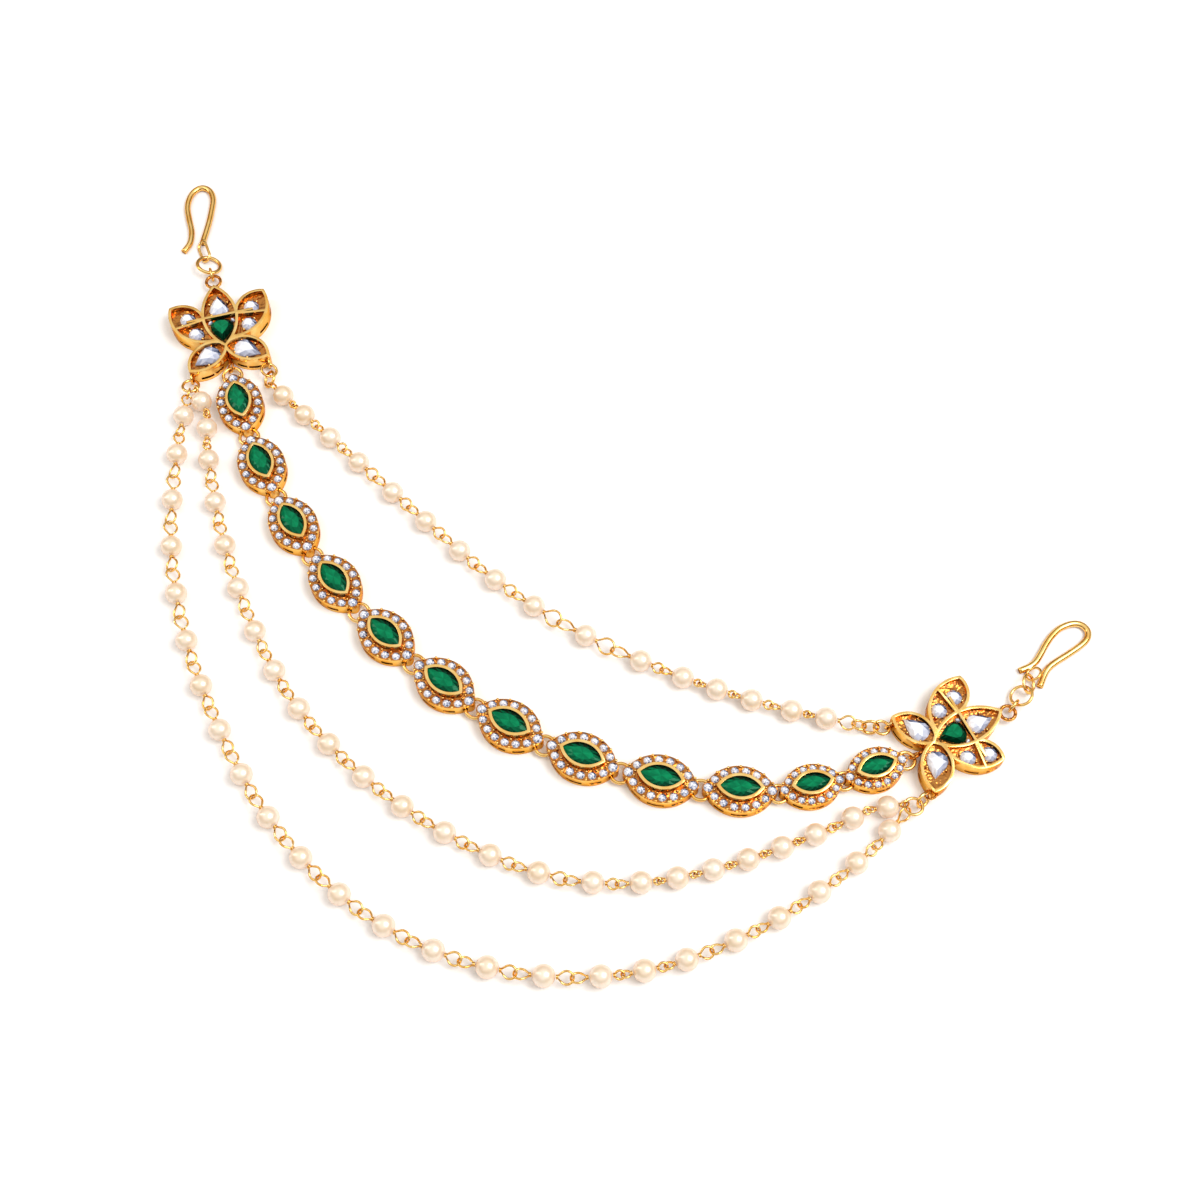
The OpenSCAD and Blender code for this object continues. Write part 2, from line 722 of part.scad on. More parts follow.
marquise(2);  // marquise_03
marquise(3);  // marquise_04
marquise(4);  // marquise_05
marquise(5);  // marquise_06
marquise(6);  // marquise_07
marquise(7);  // marquise_08
marquise(8);  // marquise_09
marquise(9);  // marquise_10
marquise(10);  // marquise_11
marquise(11);  // marquise_12
link_rings();
strand_rings_left();
strand_rings_right();
pearls_top();
wires_top();
pearls_inner();
wires_inner();
pearls_outer();
wires_outer();
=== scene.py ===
"""Looks of a hair chain: gold metal, strung pearls, foiled stones and a white table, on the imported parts."""

import math

import bmesh
import bpy
import numpy as np
from bpy.props import FloatProperty, FloatVectorProperty, IntProperty, PointerProperty
from mathutils import Matrix, Vector
from mathutils.bvhtree import BVHTree


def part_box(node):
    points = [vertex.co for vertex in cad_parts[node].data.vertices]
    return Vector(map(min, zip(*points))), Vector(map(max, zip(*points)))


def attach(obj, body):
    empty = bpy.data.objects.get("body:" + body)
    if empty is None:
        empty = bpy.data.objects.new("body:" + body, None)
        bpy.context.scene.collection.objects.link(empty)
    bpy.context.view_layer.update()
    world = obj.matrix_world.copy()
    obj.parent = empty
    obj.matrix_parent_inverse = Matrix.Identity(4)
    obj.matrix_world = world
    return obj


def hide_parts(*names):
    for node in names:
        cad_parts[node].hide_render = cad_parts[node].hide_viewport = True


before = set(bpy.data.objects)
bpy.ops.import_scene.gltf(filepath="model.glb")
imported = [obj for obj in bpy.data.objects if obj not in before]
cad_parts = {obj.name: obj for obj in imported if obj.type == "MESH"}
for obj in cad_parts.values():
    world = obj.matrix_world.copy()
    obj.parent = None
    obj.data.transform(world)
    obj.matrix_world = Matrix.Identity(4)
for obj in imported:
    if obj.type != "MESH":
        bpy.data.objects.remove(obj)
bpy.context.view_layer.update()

bl_info = {
    "name": "Hair chain",
    "version": (1, 0, 0),
    "blender": (4, 5, 0),
    "location": "View3D > Sidebar > Hair Chain",
    "description": "Dresses a packed hair chain with its metal, pearls and stones",
    "category": "Object",
}

MM = 0.001
UP = (0, 0, 1)
BODY = "root"
STRANDS = ("top", "inner", "outer")
SIDES = ("left", "right")
SETTINGS = ["%02d" % k for k in range(1, 13)]
ROUND_STONES = (1, 2, 3, 4)

# Turn of each clear drop about its flower, in degrees from the crown.
CLEAR_DROP_TURNS = {1: 0, 2: 121, 3: -121}

# From the green drop's middle to the crown drop's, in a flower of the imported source's own size.
DROPS_APART = 7.6 * MM

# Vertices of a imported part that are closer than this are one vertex.
MERGE = 0.0005 * MM

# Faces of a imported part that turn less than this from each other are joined.
FLAT = math.radians(1.5)

# How much painted shade darkens a sunken face of cast metal, and how much duller and more pitted it is, from 0
# on a polished face to 1.
HOLLOW = 1.0
SETTING_FLOOR = 0.9
FLOWER_FLOOR = 0.85
INNER_WALL = 0.5


def colour(code):
    """Linear colour of an sRGB hex code."""
    channels = [int(code[i:i + 2], 16) / 255 for i in (1, 3, 5)]
    linear = [c / 12.92 if c <= 0.04045 else ((c + 0.055) / 1.055) ** 2.4 for c in channels]
    return (*linear, 1.0)


# Settings


class HairChainColours(bpy.types.PropertyGroup):
    """Colours of the finishes, read when a material is first made"""

    gold_light: FloatVectorProperty(
        name="Gold, light", description="Palest gold of the polish",
        default=colour("#FFDC90"), subtype="COLOR", size=4
    )
    gold_deep: FloatVectorProperty(
        name="Gold, deep", description="Deepest gold of the polish",
        default=colour("#F8BC5C"), subtype="COLOR", size=4
    )
    # Colour of the painted shade in floors, inner walls, slots and crevices.
    gold_recess_shade: FloatVectorProperty(
        name="Gold, sunken", description="Gold in floors and slots",
        default=colour("#B0661E"), subtype="COLOR", size=4
    )
    pearl_light: FloatVectorProperty(
        name="Pearl, light", description="Palest nacre", default=colour("#FAE6CE"), subtype="COLOR", size=4
    )
    pearl_deep: FloatVectorProperty(
        name="Pearl, deep", description="Deepest nacre", default=colour("#F4D8B2"), subtype="COLOR", size=4
    )
    # Green stops that the painted facet glints and painted rim shade pick from.
    green_light: FloatVectorProperty(
        name="Green, light", description="Glints of the glass",
        default=colour("#08925C"), subtype="COLOR", size=4
    )
    green: FloatVectorProperty(
        name="Green", description="Glass seen through the table",
        default=colour("#006A42"), subtype="COLOR", size=4
    )
    green_deep: FloatVectorProperty(
        name="Green, deep", description="Glass of the crown",
        default=colour("#003A24"), subtype="COLOR", size=4
    )
    table: FloatVectorProperty(
        name="Table", description="Board under the piece",
        default=colour("#FFFFFF"), subtype="COLOR", size=4
    )


class HairChainBeads(bpy.types.PropertyGroup):
    """Pearls and the wire that carries them"""

    pearl: FloatProperty(name="Pearl", description="Diameter of a pearl", default=5.0 * MM, unit="LENGTH")
    wire: FloatProperty(
        name="Wire", description="Diameter of the wire through a pearl", default=0.52 * MM, unit="LENGTH"
    )
    apex: FloatProperty(
        name="Apex", description="From a pearl's skin to its eye's point", default=0.25 * MM, unit="LENGTH"
    )
    wrap: FloatProperty(
        name="Wrap", description="Diameter of the wire wrap at a pearl", default=1.15 * MM, unit="LENGTH"
    )
    wrap_wire: FloatProperty(
        name="Wrap wire", description="Wire of the wrap", default=0.34 * MM, unit="LENGTH"
    )
    wrap_turns: FloatProperty(name="Wrap turns", description="Turns of the wrap", default=1.6)
    eye_spread: FloatProperty(
        name="Eye spread", description="Eye's width against the packed one", default=1.05
    )
    flatten: FloatProperty(
        name="Flatten", description="How far an eye settles towards the table", default=0.5
    )


class HairChainHalo(bpy.types.PropertyGroup):
    """Halo of small stones round each marquise"""

    arc_length: FloatProperty(
        name="Arc length", description="Between the two tip stones", default=14.55 * MM, unit="LENGTH"
    )
    arc_width: FloatProperty(
        name="Arc width", description="Between opposite side stones", default=8.8 * MM, unit="LENGTH"
    )
    side_count: IntProperty(name="Side count", description="Stones along one side", default=6)
    stone: FloatProperty(
        name="Stone", description="Diameter of a side stone", default=1.86 * MM, unit="LENGTH"
    )
    tip_stone: FloatProperty(
        name="Tip stone", description="Diameter of a tip stone", default=2.15 * MM, unit="LENGTH"
    )
    girdle: FloatProperty(
        name="Girdle", description="Height of the stones' foot", default=3.3 * MM, unit="LENGTH"
    )
    grain: FloatProperty(
        name="Grain", description="Diameter of an outer grain", default=0.7 * MM, unit="LENGTH"
    )
    grain_height: FloatProperty(
        name="Grain height", description="Height of a grain's middle", default=3.62 * MM, unit="LENGTH"
    )
    seed: IntProperty(name="Seed", description="Seed of the stones' turns and glints", default=7)


class HairChainStones(bpy.types.PropertyGroup):
    """Large stones, and the grains and foil slivers in the flowers"""

    crown: FloatProperty(
        name="Crown", description="Visible height of a marquise", default=0.85 * MM, unit="LENGTH"
    )
    fill: FloatProperty(name="Fill", description="Green stones against the packed ones", default=1.03)
    round_fill: FloatProperty(
        name="Round fill", description="Round stones against the packed ones", default=1.1
    )
    drop_fill: FloatProperty(
        name="Drop fill", description="Clear drops against the packed ones", default=1.133
    )
    grain: FloatProperty(
        name="Grain", description="Diameter of a flower's grain", default=0.75 * MM, unit="LENGTH"
    )
    grain_lift: FloatProperty(
        name="Grain lift", description="Grain's middle over the floor", default=0.3 * MM, unit="LENGTH"
    )
    sliver: FloatProperty(
        name="Sliver", description="Length of a foil sliver", default=1.5 * MM, unit="LENGTH"
    )


class HairChainMetal(bpy.types.PropertyGroup):
    """Cast and soldered metal"""

    edge: FloatProperty(name="Edge", description="Rounding of cast edges", default=0.18 * MM, unit="LENGTH")
    plate_top: FloatProperty(
        name="Plate top", description="Height of a setting's plate", default=3.4 * MM, unit="LENGTH"
    )
    hollow_top: FloatProperty(
        name="Hollow top", description="Height of the hollow backs", default=2.45 * MM, unit="LENGTH"
    )
    crease: FloatProperty(
        name="Crease", description="Angle of a sharp edge", default=math.radians(38), subtype="ANGLE"
    )


class HairChainStage(bpy.types.PropertyGroup):
    """Table, light and camera"""

    floor: FloatProperty(name="Floor", description="Side of the table", default=6.0, unit="LENGTH")
    lens: FloatProperty(name="Lens", description="Focal length, in mm on a sensor of 36 mm", default=52.04)
    look_at: FloatVectorProperty(
        name="Look at", description="Place looked at",
        default=(-2.2 * MM, -15.1 * MM, 0.0), subtype="TRANSLATION"
    )
    back: FloatProperty(
        name="Back", description="Camera behind that place", default=180.0 * MM, unit="LENGTH"
    )
    height: FloatProperty(
        name="Height", description="Camera above the table", default=364.7 * MM, unit="LENGTH"
    )
    key: FloatProperty(name="Key", description="Power of the key light", default=7.2, unit="POWER")
    key_place: FloatVectorProperty(
        name="Key place", description="Where the key light hangs",
        default=(0.54, -0.11, 0.9), subtype="TRANSLATION"
    )
    key_side: FloatProperty(
        name="Key side", description="Side of the key light", default=0.6, unit="LENGTH"
    )
    strip: FloatProperty(name="Strip", description="Power of the strip light", default=1.08, unit="POWER")
    strip_place: FloatVectorProperty(
        name="Strip place", description="Where the strip light hangs",
        default=(-0.6, 0.1, 0.42), subtype="TRANSLATION"
    )
    strip_width: FloatProperty(
        name="Strip width", description="Short side of the strip light", default=0.12, unit="LENGTH"
    )
    strip_length: FloatProperty(
        name="Strip length", description="Long side of the strip light", default=0.7, unit="LENGTH"
    )
    sky: FloatProperty(name="Sky", description="Strength of the surrounding light", default=0.94)


# Nodes and materials


def add_node(tree, kind, values=None, links=None, stops=(), **settings):
    """Adds a node with its settings, input values and links, and for a ramp its stops of place and colour."""
    node = tree.nodes.new(kind)
    for name, value in settings.items():
        setattr(node, name, value)
    for key, value in (values or {}).items():
        node.inputs[key].default_value = value
    for key, socket in (links or {}).items():
        tree.links.new(socket, node.inputs[key])
    if stops:
        elements = node.color_ramp.elements
        while len(elements) < len(stops):
            elements.new(0.5)
        for element, (place, tint) in zip(elements, stops):
            element.position = place
            element.color = tint
    return node


def new_material(name, values):
    """Material with a Principled shader of the given values; returns it, its tree and the shader."""
    material = bpy.data.materials.new(name)
    material.use_nodes = True
    tree = material.node_tree
    tree.nodes.clear()
    shader = add_node(tree, "ShaderNodeBsdfPrincipled", values)
    add_node(tree, "ShaderNodeOutputMaterial", links={"Surface": shader.outputs["BSDF"]})
    return material, tree, shader


def lacquered_gold():
    """Gold plate on cast brass under lacquer: a warm mirror with faint swirls, browner where seen slantwise.

    Floors, inner walls and slots, and crevices that the occlusion node finds, get painted shade: their colour
    is mixed towards burnt orange. Floors, walls and slots, which no buff reaches, also keep a rougher, pitted
    cast skin.
    """
    swirl_width = 2.38 * MM
    ripple_width = 0.667 * MM
    pit_width = 1.11 * MM  # wider than real casting pits, so that they show
    crevice_reach = 0.9 * MM
    colours = bpy.context.scene.hair_chain_colours
    material, tree, shader = new_material("lacquered_gold", {
        "Metallic": 1.0, "Specular Tint": colour("#DCA04C"),
        "Coat Weight": 0.2, "Coat Roughness": 0.07,
    })
    place = add_node(tree, "ShaderNodeTexCoord").outputs["Object"]
    swirl = add_node(tree, "ShaderNodeTexNoise", {"Scale": 1 / swirl_width, "Detail": 3.0}, {"Vector": place})
    tone = add_node(
        tree, "ShaderNodeValToRGB", links={"Fac": swirl.outputs["Fac"]},
        stops=[(0.3, colours.gold_deep[:]), (0.7, colours.gold_light[:])],
    )
    # recess is 0 on polished faces and up to 1 in floors, inner walls and slots: it darkens the colour as
    # painted shade and adds real roughness and pits.
    recess = add_node(tree, "ShaderNodeAttribute", attribute_name="recess").outputs["Fac"]
    # Ambient occlusion within crevice_reach becomes painted shade in crevices, mixed into the base colour.
    open_sky = add_node(tree, "ShaderNodeAmbientOcclusion", {"Distance": crevice_reach}, samples=6)
    crevice_shade = add_node(
        tree, "ShaderNodeMapRange", {"From Min": 0.7, "From Max": 0.05}, {"Value": open_sky.outputs["AO"]}
    )
    sunken = add_node(
        tree, "ShaderNodeMath", links={0: recess, 1: crevice_shade.outputs["Result"]},
        operation="MAXIMUM", use_clamp=True,
    )
    # Base colour: polished gold mixed towards the painted shade colour of recesses and crevices.
    base = add_node(
        tree, "ShaderNodeMix", {7: colours.gold_recess_shade[:]},
        {0: sunken.outputs[0], 6: tone.outputs["Color"]}, data_type="RGBA",
    )
    tree.links.new(base.outputs[2], shader.inputs["Base Color"])
    polish = add_node(
        tree, "ShaderNodeMapRange", {"To Min": 0.12, "To Max": 0.22}, {"Value": swirl.outputs["Fac"]}
    )
    worn = add_node(tree, "ShaderNodeMath", {1: 0.04}, {0: recess}, operation="MULTIPLY")
    gloss = add_node(
        tree, "ShaderNodeMath", links={0: polish.outputs["Result"], 1: worn.outputs[0]}, operation="ADD"
    )
    tree.links.new(gloss.outputs[0], shader.inputs["Roughness"])
    ripple = add_node(
        tree, "ShaderNodeTexNoise", {"Scale": 1 / ripple_width, "Detail": 2.0}, {"Vector": place}
    )
    polished = add_node(
        tree, "ShaderNodeBump", {"Strength": 0.12, "Distance": 0.05 * MM}, {"Height": ripple.outputs["Fac"]}
    )
    pit = add_node(tree, "ShaderNodeTexNoise", {"Scale": 1 / pit_width, "Detail": 1.0}, {"Vector": place})
    skin = add_node(tree, "ShaderNodeMath", links={0: pit.outputs["Fac"], 1: recess}, operation="MULTIPLY")
    cast = add_node(
        tree, "ShaderNodeBump", {"Strength": 1.0, "Distance": 0.45 * MM},
        {"Height": skin.outputs[0], "Normal": polished.outputs["Normal"]},
    )
    tree.links.new(cast.outputs["Normal"], shader.inputs["Normal"])
    return material


def pearl_lustre():
    """Nacre lacquer over resin: cloudy cream with a peach sheen at the rim and a soft, bright window."""
    cloud_width = 6.25 * MM
    colours = bpy.context.scene.hair_chain_colours
    material, tree, shader = new_material("pearl_lustre", {
        "Subsurface Weight": 0.1, "Subsurface Radius": (1.0, 0.6, 0.4), "Subsurface Scale": 0.5 * MM,
        "Specular IOR Level": 0.6, "Specular Tint": colour("#FBE6D0"),
        "Sheen Weight": 1.0, "Sheen Roughness": 0.4, "Sheen Tint": colour("#B86A24"),
        "Coat Weight": 1.0, "Coat IOR": 2.9, "Coat Roughness": 0.3,
    })
    place = add_node(tree, "ShaderNodeTexCoord").outputs["Object"]
    cloud = add_node(tree, "ShaderNodeTexNoise", {"Scale": 1 / cloud_width, "Detail": 2.0}, {"Vector": place})
    tone = add_node(
        tree, "ShaderNodeValToRGB", links={"Fac": cloud.outputs["Fac"]},
        stops=[(0.3, colours.pearl_deep[:]), (0.7, colours.pearl_light[:])],
    )
    tree.links.new(tone.outputs["Color"], shader.inputs["Base Color"])
    gloss = add_node(
        tree, "ShaderNodeMapRange", {"To Min": 0.26, "To Max": 0.36}, {"Value": cloud.outputs["Fac"]}
    )
    tree.links.new(gloss.outputs["Result"], shader.inputs["Roughness"])
    return material


def foiled_stone(name, stops, coat, specular, tint):
    """Cut glass over foil: each facet's colour is a painted reflection from its facet value, so the stone
    glints in patches.
    """
    depth_width = 1.43 * MM
    material, tree, shader = new_material(name, {
        "Coat Weight": coat, "Coat Roughness": 0.03,
        "Specular IOR Level": specular, "Specular Tint": colour(tint),
    })
    facet = add_node(tree, "ShaderNodeAttribute", attribute_name="facet").outputs["Fac"]
    shade = add_node(tree, "ShaderNodeAttribute", attribute_name="shade").outputs["Fac"]
    place = add_node(tree, "ShaderNodeTexCoord").outputs["Object"]
    depth = add_node(tree, "ShaderNodeTexNoise", {"Scale": 1 / depth_width, "Detail": 1.0}, {"Vector": place})
    cast = add_node(
        tree, "ShaderNodeMapRange", {"To Min": -0.1, "To Max": 0.1}, {"Value": depth.outputs["Fac"]}
    )
    lit = add_node(tree, "ShaderNodeMath", links={0: facet, 1: cast.outputs["Result"]}, operation="ADD")
    own = add_node(tree, "ShaderNodeMath", links={0: lit.outputs[0], 1: shade}, operation="ADD")
    tone = add_node(tree, "ShaderNodeValToRGB", links={"Fac": own.outputs[0]}, stops=stops)
    tree.links.new(tone.outputs["Color"], shader.inputs["Base Color"])
    gloss = add_node(
        tree, "ShaderNodeMapRange", {"To Min": 0.05, "To Max": 0.14}, {"Value": depth.outputs["Fac"]}
    )
    tree.links.new(gloss.outputs["Result"], shader.inputs["Roughness"])
    return material


def clear_foil():
    """Clear glass on silver foil: white and blue-grey facets with dark spots, which are painted reflections
    from the facet glints.
    """
    stops = [
        (0.0, colour("#2C3853")), (0.3, colour("#7885A6")),
        (0.6, colour("#C3CADF")), (0.85, colour("#F3F5FB")),
    ]
    return foiled_stone("clear_foil", stops, coat=0.35, specular=0.4, tint="#FFFFFF")


def emerald_glass():
    """Emerald-green glass on foil, clear green through the table; the painted rim shade and painted facet
    glints make it almost black at the rim.
    """
    colours = bpy.context.scene.hair_chain_colours
    stops = [
        (0.0, colour("#001A10")), (0.35, colours.green_deep[:]), (0.8, colours.green[:]),
        (1.0, colours.green_light[:]),
    ]
    return foiled_stone("emerald_glass", stops, coat=0.1, specular=0.3, tint="#58C898")


def table_white():
    """Board painted matt white: it holds soft shadows and no reflections, with faint roller marks."""
    mark_width = 16.7 * MM
    colours = bpy.context.scene.hair_chain_colours
    material, tree, shader = new_material("table_white", {"Roughness": 0.9})
    place = add_node(tree, "ShaderNodeTexCoord").outputs["Object"]
    mark = add_node(tree, "ShaderNodeTexNoise", {"Scale": 1 / mark_width}, {"Vector": place})
    tone = add_node(
        tree, "ShaderNodeValToRGB", links={"Fac": mark.outputs["Fac"]},
        stops=[(0.0, colour("#FDFCFC")), (1.0, colours.table[:])],
    )
    tree.links.new(tone.outputs["Color"], shader.inputs["Base Color"])
    return material


def material_named(name):
    """Makes each material the first time that a piece asks for it."""
    makers = {
        "lacquered_gold": lacquered_gold, "pearl_lustre": pearl_lustre, "clear_foil": clear_foil,
        "emerald_glass": emerald_glass, "table_white": table_white,
    }
    return bpy.data.materials.get(name) or makers[name]()


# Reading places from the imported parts


def merged_shape(node):
    """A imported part's triangles as one joined bmesh."""
    shape = bmesh.new()
    shape.from_mesh(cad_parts[node].data)
    bmesh.ops.remove_doubles(shape, verts=shape.verts, dist=MERGE)
    return shape


def loose_parts(node):
    """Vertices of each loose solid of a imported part, as arrays."""
    shape = merged_shape(node)
    shape.verts.ensure_lookup_table()
    seen = set()
    parts = []
    for start in shape.verts:
        if start.index in seen:
            continue
        seen.add(start.index)
        stack = [start]
        part = []
        while stack:
            vert = stack.pop()
            part.append(vert.co[:])
            for edge in vert.link_edges:
                other = edge.other_vert(vert)
                if other.index not in seen:
                    seen.add(other.index)
                    stack.append(other)
        parts.append(np.array(part))
    shape.free()
    return parts


def box_middle(points):
    return (points.min(axis=0) + points.max(axis=0)) / 2


def principal_axes(points):
    """Unit axes of a cloud of points, longest first."""
    middle = points.mean(axis=0)
    return np.linalg.svd(points - middle, full_matrices=False)[2]


def turned(along):
    """Rotation whose X runs along a direction and whose Z is as near upright as can be."""
    x = Vector(along).normalized()
    y = Vector(UP).cross(x).normalized()
    return Matrix((x, y, x.cross(y))).transposed()


def strand_beads(strand):
    """For each wire of a strand: its pearl's middle, its direction and its points."""
    pearls = [box_middle(part) for part in loose_parts("pearls_" + strand)]
    beads = []
    for part in loose_parts("wires_" + strand):
        middle = box_middle(part)
        pearl = min(pearls, key=lambda p: np.linalg.norm(p - middle))
        along = principal_axes(part)[0]
        along[2] = 0
        beads.append((pearl, along / np.linalg.norm(along), part))
    return beads


def setting_places():
    """For each setting: the middle of its marquise, its direction and its size against the largest."""
    found = []
    for number in SETTINGS:
        points = np.concatenate(loose_parts("marquise_" + number))
        along = principal_axes(points)[0]
        along[2] = 0
        along /= np.linalg.norm(along)
        along *= 1 if along[0] > 0 else -1
        reach = points @ along
        found.append((box_middle(points), along, reach.max() - reach.min()))
    longest = max(length for _, _, length in found)
    return [(middle, along, length / longest) for middle, along, length in found]


# Meshes and Geometry Nodes


def mesh_object(name, mesh):
    thing = bpy.data.objects.new(name, mesh)
    bpy.context.scene.collection.objects.link(thing)
    return thing


def finished_piece(name, mesh, nodes=()):
    """Puts a finished mesh in the scene, riding on the part, in place of the given nodes."""
    piece = mesh_object(name, mesh)
    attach(piece, BODY)
    if nodes:
        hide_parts(*nodes)


def plain_mesh(helper, name):
    """Mesh of an object with its modifiers applied; the object is removed."""
    graph = bpy.context.evaluated_depsgraph_get()
    mesh = bpy.data.meshes.new_from_object(helper.evaluated_get(graph))
    mesh.name = name
    helper.modifiers.clear()
    old = helper.data
    bpy.data.objects.remove(helper)
    bpy.data.meshes.remove(old)
    return mesh


def scatter_tree():
    """Geometry Nodes tree that sets a template on points with their turn and size attributes."""
    tree = bpy.data.node_groups.get("set_on_places")
    if tree:
        return tree
    tree = bpy.data.node_groups.new("set_on_places", "GeometryNodeTree")
    tree.interface.new_socket("Geometry", in_out="OUTPUT", socket_type="NodeSocketGeometry")
    for name, kind in (
        ("Geometry", "NodeSocketGeometry"), ("Template", "NodeSocketObject"),
        ("Material", "NodeSocketMaterial"), ("Spin", "NodeSocketFloat"), ("Shade", "NodeSocketFloat"),
        ("Seed", "NodeSocketInt"),
    ):
        tree.interface.new_socket(name, in_out="INPUT", socket_type=kind)
    given = add_node(tree, "NodeGroupInput").outputs
    template = add_node(tree, "GeometryNodeObjectInfo", {"As Instance": True}, {"Object": given["Template"]})
    turn = add_node(tree, "GeometryNodeInputNamedAttribute", {"Name": "turn"}, data_type="FLOAT_VECTOR")
    size = add_node(tree, "GeometryNodeInputNamedAttribute", {"Name": "size"}, data_type="FLOAT_VECTOR")
    facing = add_node(tree, "FunctionNodeEulerToRotation", links={0: turn.outputs[0]})
    spin = add_node(
        tree, "FunctionNodeRandomValue", {2: 0.0}, {3: given["Spin"], "Seed": given["Seed"]},
        data_type="FLOAT",
    )
    about = add_node(tree, "ShaderNodeCombineXYZ", links={"Z": spin.outputs[1]})
    spun = add_node(tree, "FunctionNodeEulerToRotation", links={0: about.outputs[0]})
    both = add_node(
        tree, "FunctionNodeRotateRotation", links={0: facing.outputs[0], 1: spun.outputs[0]},
        rotation_space="LOCAL",
    )
    copies = add_node(tree, "GeometryNodeInstanceOnPoints", links={
        "Points": given["Geometry"], "Instance": template.outputs["Geometry"],
        "Rotation": both.outputs[0], "Scale": size.outputs[0],
    })
    low = add_node(tree, "ShaderNodeMath", {1: -1.0}, {0: given["Shade"]}, operation="MULTIPLY")
    shade = add_node(
        tree, "FunctionNodeRandomValue", links={2: low.outputs[0], 3: given["Shade"], "Seed": given["Seed"]},
        data_type="FLOAT",
    )
    marked = add_node(
        tree, "GeometryNodeStoreNamedAttribute", {"Name": "shade"},
        {"Geometry": copies.outputs[0], "Value": shade.outputs[1]}, data_type="FLOAT", domain="INSTANCE",
    )
    real = add_node(tree, "GeometryNodeRealizeInstances", links={"Geometry": marked.outputs[0]})
    dressed = add_node(
        tree, "GeometryNodeSetMaterial", links={"Geometry": real.outputs[0], "Material": given["Material"]}
    )
    add_node(tree, "NodeGroupOutput", links={"Geometry": dressed.outputs[0]})
    return tree


def scattered(name, template, places, material, spin=0.0, shade=0.0, seed=0):
    """One mesh with a copy of a template mesh at each place, given as position, rotation and size."""
    cloud = bpy.data.meshes.new(name + "_places")
    cloud.from_pydata([tuple(position) for position, _, _ in places], [], [])
    turn = cloud.attributes.new("turn", "FLOAT_VECTOR", "POINT")
    size = cloud.attributes.new("size", "FLOAT_VECTOR", "POINT")
    for i, (_, rotation, scale) in enumerate(places):
        turn.data[i].vector = rotation.to_euler()
        size.data[i].vector = scale
    model = mesh_object(name + "_template", template)
    helper = mesh_object(name + "_helper", cloud)
    tree = scatter_tree()
    modifier = helper.modifiers.new("set_on_places", "NODES")
    modifier.node_group = tree
    given = {"Template": model, "Material": material, "Spin": spin, "Shade": shade, "Seed": seed}
    for item in tree.interface.items_tree:
        if item.in_out == "INPUT" and item.name in given:
            modifier[item.identifier] = given[item.name]
    mesh = plain_mesh(helper, name)
    bpy.data.objects.remove(model)
    bpy.data.meshes.remove(template)
    return mesh


def swept_tube(shape, line, radius, sides, closed):
    """Adds a round tube along a line of points to a bmesh."""
    points = [Vector(p) for p in line]
    angles = [2 * math.pi * k / sides for k in range(sides)]
    count = len(points)
    rings = []
    previous = None
    for i, point in enumerate(points):
        before = points[(i - 1) % count] if closed or i else point
        after = points[(i + 1) % count] if closed or i < count - 1 else point
        along = (after - before).normalized()
        across = previous or along.orthogonal()
        across = (across - across.dot(along) * along).normalized()
        previous = across
        side = along.cross(across)
        rings.append([
            shape.verts.new(point + radius * (math.cos(a) * across + math.sin(a) * side)) for a in angles
        ])
    for i in range(count if closed else count - 1):
        first = rings[i]
        second = rings[(i + 1) % count]
        step = 0
        if closed and i == count - 1:
            step = min(range(sides), key=lambda s: (second[s].co - first[0].co).length)
        for k in range(sides):
            shape.faces.new((
                first[k], first[(k + 1) % sides], second[(k + 1 + step) % sides], second[(k + step) % sides]
            ))
    if not closed:
        shape.faces.new(rings[0][::-1])
        shape.faces.new(rings[-1])


def mesh_from(shape, name, smooth=True):
    for face in shape.faces:
        face.smooth = smooth
    mesh = bpy.data.meshes.new(name)
    shape.to_mesh(mesh)
    shape.free()
    return mesh


# Templates of what repeats


def bead_template():
    """Pearl of unit diameter, threaded along X, with a small dimple at each end of its hole."""
    dimple_from = 0.485
    dimple_depth = 0.07
    shape = bmesh.new()
    bmesh.ops.create_uvsphere(shape, u_segments=28, v_segments=18, radius=0.5)
    shape.transform(Matrix.Rotation(math.pi / 2, 4, "Y"))
    for vert in shape.verts:
        if abs(vert.co.x) > dimple_from:
            vert.co.x *= 1 - dimple_depth
    return mesh_from(shape, "bead")


def wrap_template(wrap_d, wire_d, turns):
    """Short coil of fine wire about X, starting at X = 0."""
    steps = 14
    pitch = 0.92 * wire_d
    mean_r = (wrap_d - wire_d) / 2
    shape = bmesh.new()
    line = []
    for k in range(int(steps * turns) + 1):
        angle = 2 * math.pi * k / steps
        line.append((wire_d / 2 + pitch * k / steps, mean_r * math.cos(angle), mean_r * math.sin(angle)))
    swept_tube(shape, line, wire_d / 2, sides=6, closed=False)
    return mesh_from(shape, "wrap")


def grain_template():
    """Grain of unit diameter."""
    shape = bmesh.new()
    bmesh.ops.create_icosphere(shape, subdivisions=2, radius=0.5)
    return mesh_from(shape, "grain")


